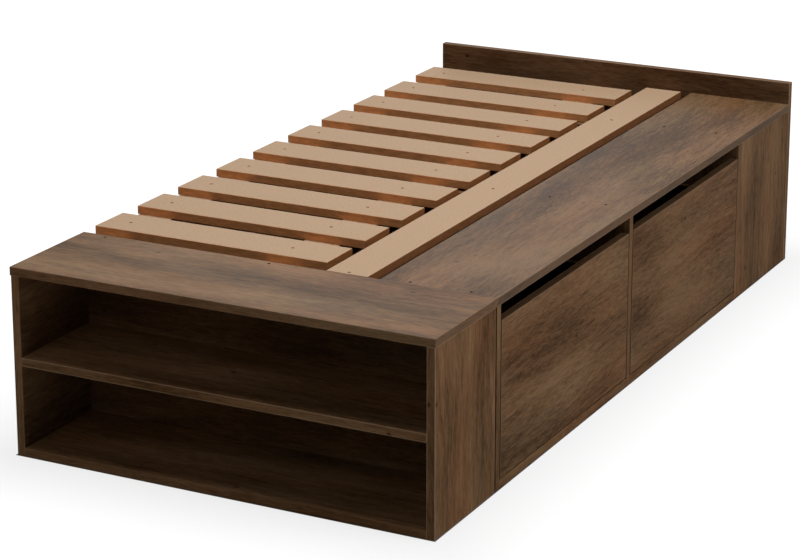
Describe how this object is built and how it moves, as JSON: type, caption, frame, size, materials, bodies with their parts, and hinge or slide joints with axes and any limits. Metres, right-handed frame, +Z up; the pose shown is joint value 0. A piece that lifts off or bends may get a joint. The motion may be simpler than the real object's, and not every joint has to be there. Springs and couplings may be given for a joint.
{
  "type": "platform storage bed",
  "caption": "Low single platform bed with an open two-tier bookcase across the foot, two long drawers along one side, slatted deck boards and a low headboard",
  "frame": {"origin": "middle of the bed's footprint on the floor", "axes": "+X to the drawer side, +Y from the foot bookcase to the headboard, +Z up"},
  "size_m": [0.953, 1.965, 0.4555],
  "materials": {
    "oak_board": "dark oak-grained melamine on particle board with banded edges, satin",
    "raw_board": "raw light tan board with sawn darker edges, matt",
    "beech": "plain beech dowel rod",
    "zinc_screw": "zinc-plated steel fasteners",
    "zinc_cast": "cast zinc cam locks",
    "zinc_sheet": "zinc-plated bent sheet steel",
    "white_steel": "white epoxy-coated pressed sheet steel",
    "white_nylon": "white nylon rollers"
  },
  "bodies": {
    "bed_frame": {"foot_top": "oak_board", "foot_left_side": "oak_board", "foot_right_side": "oak_board", "foot_shelf": "oak_board", "foot_bottom": "oak_board", "foot_back": "oak_board", "headboard": "oak_board", "left_side_panel": "oak_board", "centre_panel": "oak_board", "slat_rails": "raw_board", "partition_foot": "oak_board", "partition_middle": "oak_board", "partition_head": "oak_board", "base_rail_foot": "oak_board", "base_rail_head": "oak_board", "head_side_panel": "oak_board", "ledge": "oak_board", "long_slat": "raw_board", "cross_slat_01": "raw_board", "cross_slat_02": "raw_board", "cross_slat_03": "raw_board", "cross_slat_04": "raw_board", "cross_slat_05": "raw_board", "cross_slat_06": "raw_board", "cross_slat_07": "raw_board", "cross_slat_08": "raw_board", "cross_slat_09": "raw_board", "cross_slat_10": "raw_board", "deck_screws": "zinc_screw", "support_screws": "zinc_screw", "pan_screws": "zinc_screw", "joining_screws": "zinc_screw", "rail_brackets": "zinc_sheet", "cam_locks": "zinc_cast", "cam_bolts": "zinc_screw", "dowels": "beech", "runner_foot_left": "white_steel", "runner_foot_right": "white_steel", "runner_head_left": "white_steel", "runner_head_right": "white_steel"},
    "foot_drawer": {"foot_drawer_front": "oak_board", "foot_drawer_left_side": "oak_board", "foot_drawer_right_side": "oak_board", "foot_drawer_back": "oak_board", "foot_drawer_bottom": "raw_board", "foot_drawer_left_slide": "white_steel", "foot_drawer_right_slide": "white_steel", "foot_drawer_fasteners": "zinc_screw"},
    "head_drawer": {"head_drawer_front": "oak_board", "head_drawer_left_side": "oak_board", "head_drawer_right_side": "oak_board", "head_drawer_back": "oak_board", "head_drawer_bottom": "raw_board", "head_drawer_left_slide": "white_steel", "head_drawer_right_slide": "white_steel", "head_drawer_fasteners": "zinc_screw"},
    "foot_fixed_roller_pair": {"foot_fixed_rollers": "white_nylon"},
    "foot_moving_roller_pair": {"foot_moving_rollers": "white_nylon"},
    "head_fixed_roller_pair": {"head_fixed_rollers": "white_nylon"},
    "head_moving_roller_pair": {"head_moving_rollers": "white_nylon"}
  },
  "joints": [
    {"name": "foot_drawer_slide", "type": "slide", "parent": "bed_frame", "child": "foot_drawer", "axis": [1, 0, 0], "range_m": [0, 0.29]},
    {"name": "foot_fixed_roller_spin", "type": "hinge", "parent": "bed_frame", "child": "foot_fixed_roller_pair", "pos_m": [0.44, -0.372, 0.0515], "axis": [0, 1, 0], "continuous": true},
    {"name": "foot_moving_roller_spin", "type": "hinge", "parent": "foot_drawer", "child": "foot_moving_roller_pair", "pos_m": [0.0675, -0.372, 0.0515], "axis": [0, 1, 0], "continuous": true},
    {"name": "head_drawer_slide", "type": "slide", "parent": "bed_frame", "child": "head_drawer", "axis": [1, 0, 0], "range_m": [0, 0.29]},
    {"name": "head_fixed_roller_spin", "type": "hinge", "parent": "bed_frame", "child": "head_fixed_roller_pair", "pos_m": [0.44, 0.294, 0.0515], "axis": [0, 1, 0], "continuous": true},
    {"name": "head_moving_roller_spin", "type": "hinge", "parent": "head_drawer", "child": "head_moving_roller_pair", "pos_m": [0.0675, 0.294, 0.0515], "axis": [0, 1, 0], "continuous": true}
  ],
  "couplings": [
    {"joint": "foot_fixed_roller_spin", "follows": "foot_drawer_slide", "rad_per_m": 83.333},
    {"joint": "foot_moving_roller_spin", "follows": "foot_drawer_slide", "rad_per_m": 83.333},
    {"joint": "head_fixed_roller_spin", "follows": "head_drawer_slide", "rad_per_m": 83.333},
    {"joint": "head_moving_roller_spin", "follows": "head_drawer_slide", "rad_per_m": 83.333}
  ]
}
